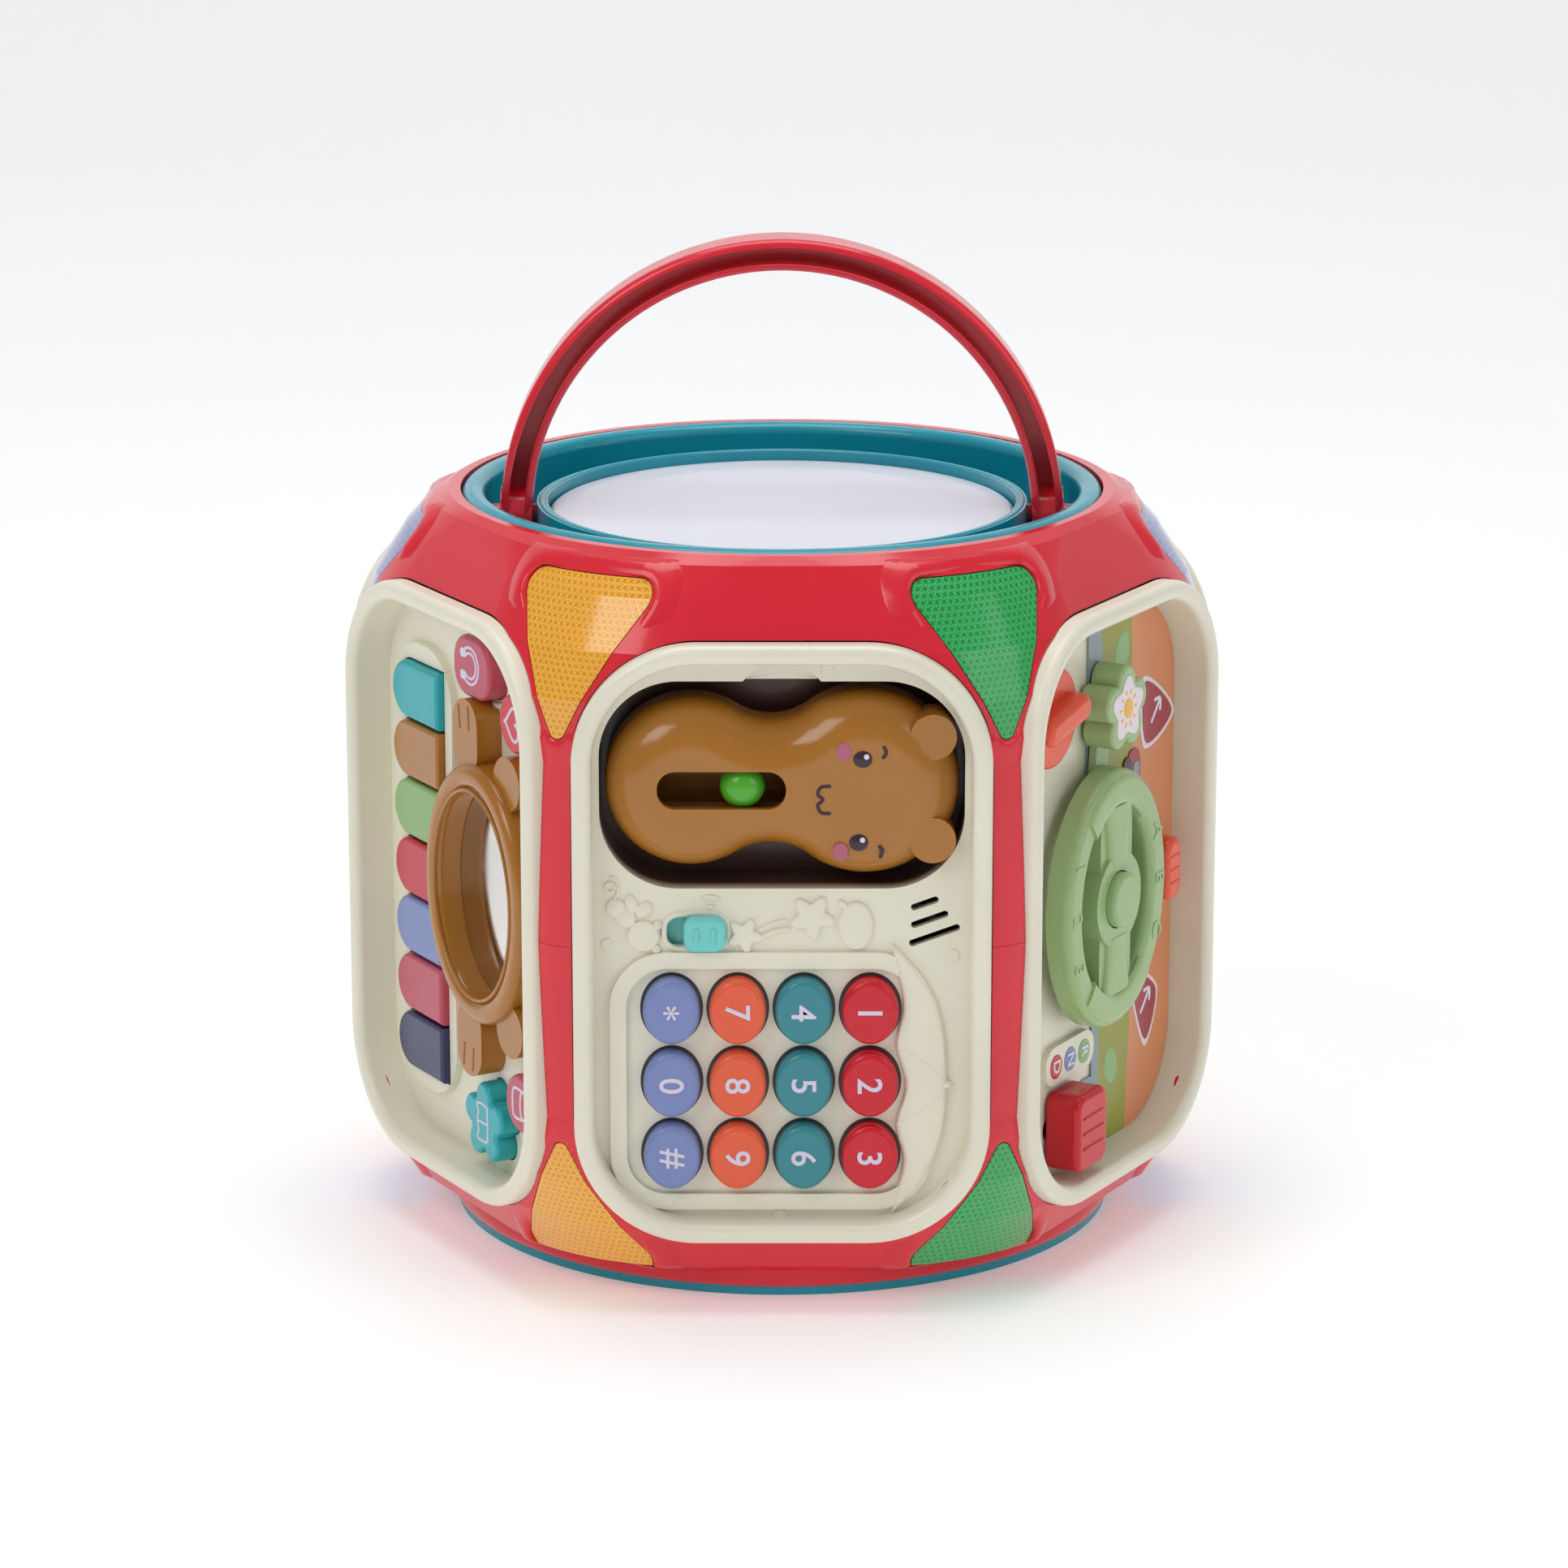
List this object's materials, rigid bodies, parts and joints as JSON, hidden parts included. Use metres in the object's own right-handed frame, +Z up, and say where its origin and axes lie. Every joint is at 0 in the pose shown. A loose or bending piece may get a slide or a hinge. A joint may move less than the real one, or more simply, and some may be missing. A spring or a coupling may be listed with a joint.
{
  "type": "baby activity cube",
  "caption": "Six-sided activity drum with a play tray on each side, lit corner windows, a drum pad on top and a folding carry handle.",
  "frame": {"origin": "centre of the underside of the base", "axes": "+Z up through the drum pad, -Y out of the telephone tray, +X to the right seen from the telephone side"},
  "size_m": [0.2222, 0.2, 0.2504],
  "materials": {
    "red": "moulded, glossy",
    "teal": "moulded, glossy",
    "cream": "moulded, satin gloss",
    "brown": "moulded, glossy",
    "white": "moulded, satin",
    "amber_lens": "translucent, textured",
    "green_lens": "translucent, textured",
    "blue_lens": "translucent, textured",
    "key_blue": "moulded, glossy",
    "key_orange": "moulded, glossy",
    "key_teal": "moulded, glossy",
    "key_red": "moulded, glossy",
    "piano_green": "moulded, glossy",
    "piano_rose": "moulded, glossy",
    "piano_navy": "moulded, glossy",
    "mint": "moulded, glossy",
    "leaf_green": "moulded, glossy",
    "ball_green": "moulded, glossy",
    "coral": "moulded, glossy",
    "orange": "moulded, glossy",
    "yellow": "moulded, glossy",
    "mirror": "polished sheet",
    "card": "printed, matt",
    "board": "solder mask",
    "speaker": "pressed frame and paper cone",
    "cell": "wrapped steel can",
    "screw": "zinc plated"
  },
  "bodies": {
    "drum_body": {"upper_shell": "red", "lower_shell": "red", "top_ring": "teal", "base_cover": "teal", "battery_door": "teal", "case_screws": "screw", "phone_panel": "cream", "piano_panel": "cream", "driving_panel": "cream", "gear_panel": "cream", "roller_panel": "cream", "spinner_panel": "cream", "orange_lenses": "amber_lens", "green_lenses": "green_lens", "blue_lenses": "blue_lens", "main_board": "board", "speaker": "speaker", "batteries": "cell", "mirror_frame": "brown", "mirror": "mirror", "scene_card": "card"},
    "handle": {"handle": "red"},
    "drum_pad": {"drum_pad": "white"},
    "phone_key_star": {"phone_key_star": "key_blue"},
    "phone_key_seven": {"phone_key_seven": "key_orange"},
    "phone_key_four": {"phone_key_four": "key_teal"},
    "phone_key_one": {"phone_key_one": "key_red"},
    "phone_key_zero": {"phone_key_zero": "key_blue"},
    "phone_key_eight": {"phone_key_eight": "key_orange"},
    "phone_key_five": {"phone_key_five": "key_teal"},
    "phone_key_two": {"phone_key_two": "key_red"},
    "phone_key_hash": {"phone_key_hash": "key_blue"},
    "phone_key_nine": {"phone_key_nine": "key_orange"},
    "phone_key_six": {"phone_key_six": "key_teal"},
    "phone_key_three": {"phone_key_three": "key_red"},
    "slide_switch": {"slide_switch": "mint"},
    "handset": {"handset_front": "brown", "handset_back": "brown"},
    "rattle_ball": {"rattle_ball": "ball_green"},
    "piano_key_do": {"piano_key_do": "teal"},
    "piano_key_re": {"piano_key_re": "brown"},
    "piano_key_mi": {"piano_key_mi": "piano_green"},
    "piano_key_fa": {"piano_key_fa": "key_red"},
    "piano_key_sol": {"piano_key_sol": "key_blue"},
    "piano_key_la": {"piano_key_la": "piano_rose"},
    "piano_key_ti": {"piano_key_ti": "piano_navy"},
    "mode_button_song": {"mode_button_song": "piano_rose"},
    "mode_button_heart": {"mode_button_heart": "key_red"},
    "mode_button_star": {"mode_button_star": "teal"},
    "mode_button_drum": {"mode_button_drum": "piano_rose"},
    "steering_wheel": {"steering_wheel": "leaf_green"},
    "horn_button": {"horn_button": "leaf_green"},
    "star_lever": {"star_lever": "leaf_green"},
    "ignition_knob": {"ignition_knob": "coral"},
    "signal_slider": {"signal_slider": "coral"},
    "gear_lever": {"gear_lever": "key_red"},
    "gear_large": {"gear_large": "yellow"},
    "gear_small": {"gear_small": "teal"},
    "roller": {"roller": "orange"},
    "spinner": {"spinner": "key_red"}
  },
  "joints": [
    {"name": "handle_hinge", "type": "hinge", "parent": "drum_body", "child": "handle", "pos_m": [0, 0, 0.1793], "axis": [1, 0, 0], "range_deg": [-88, 88]},
    {"name": "drum_pad_press", "type": "slide", "parent": "drum_body", "child": "drum_pad", "axis": [0, 0, -1], "range_m": [0, 0.002], "stiffness_N_per_m": 2500, "springref_m": -0.0008},
    {"name": "phone_key_star_press", "type": "slide", "parent": "drum_body", "child": "phone_key_star", "axis": [0, 1, 0], "range_m": [0, 0.0015], "stiffness_N_per_m": 400},
    {"name": "phone_key_seven_press", "type": "slide", "parent": "drum_body", "child": "phone_key_seven", "axis": [0, 1, 0], "range_m": [0, 0.0015], "stiffness_N_per_m": 400},
    {"name": "phone_key_four_press", "type": "slide", "parent": "drum_body", "child": "phone_key_four", "axis": [0, 1, 0], "range_m": [0, 0.0015], "stiffness_N_per_m": 400},
    {"name": "phone_key_one_press", "type": "slide", "parent": "drum_body", "child": "phone_key_one", "axis": [0, 1, 0], "range_m": [0, 0.0015], "stiffness_N_per_m": 400},
    {"name": "phone_key_zero_press", "type": "slide", "parent": "drum_body", "child": "phone_key_zero", "axis": [0, 1, 0], "range_m": [0, 0.0015], "stiffness_N_per_m": 400},
    {"name": "phone_key_eight_press", "type": "slide", "parent": "drum_body", "child": "phone_key_eight", "axis": [0, 1, 0], "range_m": [0, 0.0015], "stiffness_N_per_m": 400},
    {"name": "phone_key_five_press", "type": "slide", "parent": "drum_body", "child": "phone_key_five", "axis": [0, 1, 0], "range_m": [0, 0.0015], "stiffness_N_per_m": 400},
    {"name": "phone_key_two_press", "type": "slide", "parent": "drum_body", "child": "phone_key_two", "axis": [0, 1, 0], "range_m": [0, 0.0015], "stiffness_N_per_m": 400},
    {"name": "phone_key_hash_press", "type": "slide", "parent": "drum_body", "child": "phone_key_hash", "axis": [0, 1, 0], "range_m": [0, 0.0015], "stiffness_N_per_m": 400},
    {"name": "phone_key_nine_press", "type": "slide", "parent": "drum_body", "child": "phone_key_nine", "axis": [0, 1, 0], "range_m": [0, 0.0015], "stiffness_N_per_m": 400},
    {"name": "phone_key_six_press", "type": "slide", "parent": "drum_body", "child": "phone_key_six", "axis": [0, 1, 0], "range_m": [0, 0.0015], "stiffness_N_per_m": 400},
    {"name": "phone_key_three_press", "type": "slide", "parent": "drum_body", "child": "phone_key_three", "axis": [0, 1, 0], "range_m": [0, 0.0015], "stiffness_N_per_m": 400},
    {"name": "switch_slide", "type": "slide", "parent": "drum_body", "child": "slide_switch", "axis": [1, 0, 0], "range_m": [-0.0057, 0]},
    {"name": "handset_lift", "type": "slide", "parent": "drum_body", "child": "handset", "axis": [0, -1, 0], "range_m": [0, 0.06]},
    {"name": "rattle_ball_run", "type": "slide", "parent": "handset", "child": "rattle_ball", "axis": [1, 0, 0], "range_m": [-0.0155, 0.0055]},
    {"name": "piano_key_do_press", "type": "slide", "parent": "drum_body", "child": "piano_key_do", "axis": [0.866, 0.5, 0], "range_m": [0, 0.0018], "stiffness_N_per_m": 400},
    {"name": "piano_key_re_press", "type": "slide", "parent": "drum_body", "child": "piano_key_re", "axis": [0.866, 0.5, 0], "range_m": [0, 0.0018], "stiffness_N_per_m": 400},
    {"name": "piano_key_mi_press", "type": "slide", "parent": "drum_body", "child": "piano_key_mi", "axis": [0.866, 0.5, 0], "range_m": [0, 0.0018], "stiffness_N_per_m": 400},
    {"name": "piano_key_fa_press", "type": "slide", "parent": "drum_body", "child": "piano_key_fa", "axis": [0.866, 0.5, 0], "range_m": [0, 0.0018], "stiffness_N_per_m": 400},
    {"name": "piano_key_sol_press", "type": "slide", "parent": "drum_body", "child": "piano_key_sol", "axis": [0.866, 0.5, 0], "range_m": [0, 0.0018], "stiffness_N_per_m": 400},
    {"name": "piano_key_la_press", "type": "slide", "parent": "drum_body", "child": "piano_key_la", "axis": [0.866, 0.5, 0], "range_m": [0, 0.0018], "stiffness_N_per_m": 400},
    {"name": "piano_key_ti_press", "type": "slide", "parent": "drum_body", "child": "piano_key_ti", "axis": [0.866, 0.5, 0], "range_m": [0, 0.0018], "stiffness_N_per_m": 400},
    {"name": "mode_button_song_press", "type": "slide", "parent": "drum_body", "child": "mode_button_song", "axis": [0.866, 0.5, 0], "range_m": [0, 0.0015], "stiffness_N_per_m": 400},
    {"name": "mode_button_heart_press", "type": "slide", "parent": "drum_body", "child": "mode_button_heart", "axis": [0.866, 0.5, 0], "range_m": [0, 0.0015], "stiffness_N_per_m": 400},
    {"name": "mode_button_star_press", "type": "slide", "parent": "drum_body", "child": "mode_button_star", "axis": [0.866, 0.5, 0], "range_m": [0, 0.0015], "stiffness_N_per_m": 400},
    {"name": "mode_button_drum_press", "type": "slide", "parent": "drum_body", "child": "mode_button_drum", "axis": [0.866, 0.5, 0], "range_m": [0, 0.0015], "stiffness_N_per_m": 400},
    {"name": "wheel_turn", "type": "hinge", "parent": "drum_body", "child": "steering_wheel", "pos_m": [0.08027, -0.05096, 0.0928], "axis": [0.866, -0.5, 0], "range_deg": [-30, 30]},
    {"name": "horn_press", "type": "slide", "parent": "steering_wheel", "child": "horn_button", "axis": [-0.866, 0.5, 0], "range_m": [0, 0.001], "stiffness_N_per_m": 400},
    {"name": "star_lever_swing", "type": "hinge", "parent": "drum_body", "child": "star_lever", "pos_m": [0.07867, -0.04773, 0.1175], "axis": [0.866, -0.5, 0], "range_deg": [-10, 10]},
    {"name": "ignition_turn", "type": "hinge", "parent": "drum_body", "child": "ignition_knob", "pos_m": [0.06592, -0.06982, 0.1435], "axis": [0.866, -0.5, 0], "range_deg": [-60, 0]},
    {"name": "signal_slide", "type": "slide", "parent": "drum_body", "child": "signal_slider", "axis": [0, 0, 1], "range_m": [-0.005, 0.005]},
    {"name": "gear_lever_slide", "type": "slide", "parent": "drum_body", "child": "gear_lever", "axis": [0.5, 0.866, 0], "range_m": [-0.005, 0.005]},
    {"name": "gear_large_spin", "type": "hinge", "parent": "drum_body", "child": "gear_large", "pos_m": [0, 0.092, 0.1155], "axis": [0, 1, 0], "continuous": true},
    {"name": "gear_small_spin", "type": "hinge", "parent": "drum_body", "child": "gear_small", "pos_m": [0, 0.092, 0.0715], "axis": [0, 1, 0], "continuous": true},
    {"name": "roller_spin", "type": "hinge", "parent": "drum_body", "child": "roller", "pos_m": [-0.07534, 0.0435, 0.1155], "axis": [-0.5, -0.866, 0], "continuous": true},
    {"name": "spinner_spin", "type": "hinge", "parent": "drum_body", "child": "spinner", "pos_m": [0.07967, 0.046, 0.1075], "axis": [0.866, 0.5, 0], "continuous": true}
  ],
  "couplings": [
    {"joint": "gear_small_spin", "follows": "gear_large_spin", "ratio": -1.75}
  ]
}
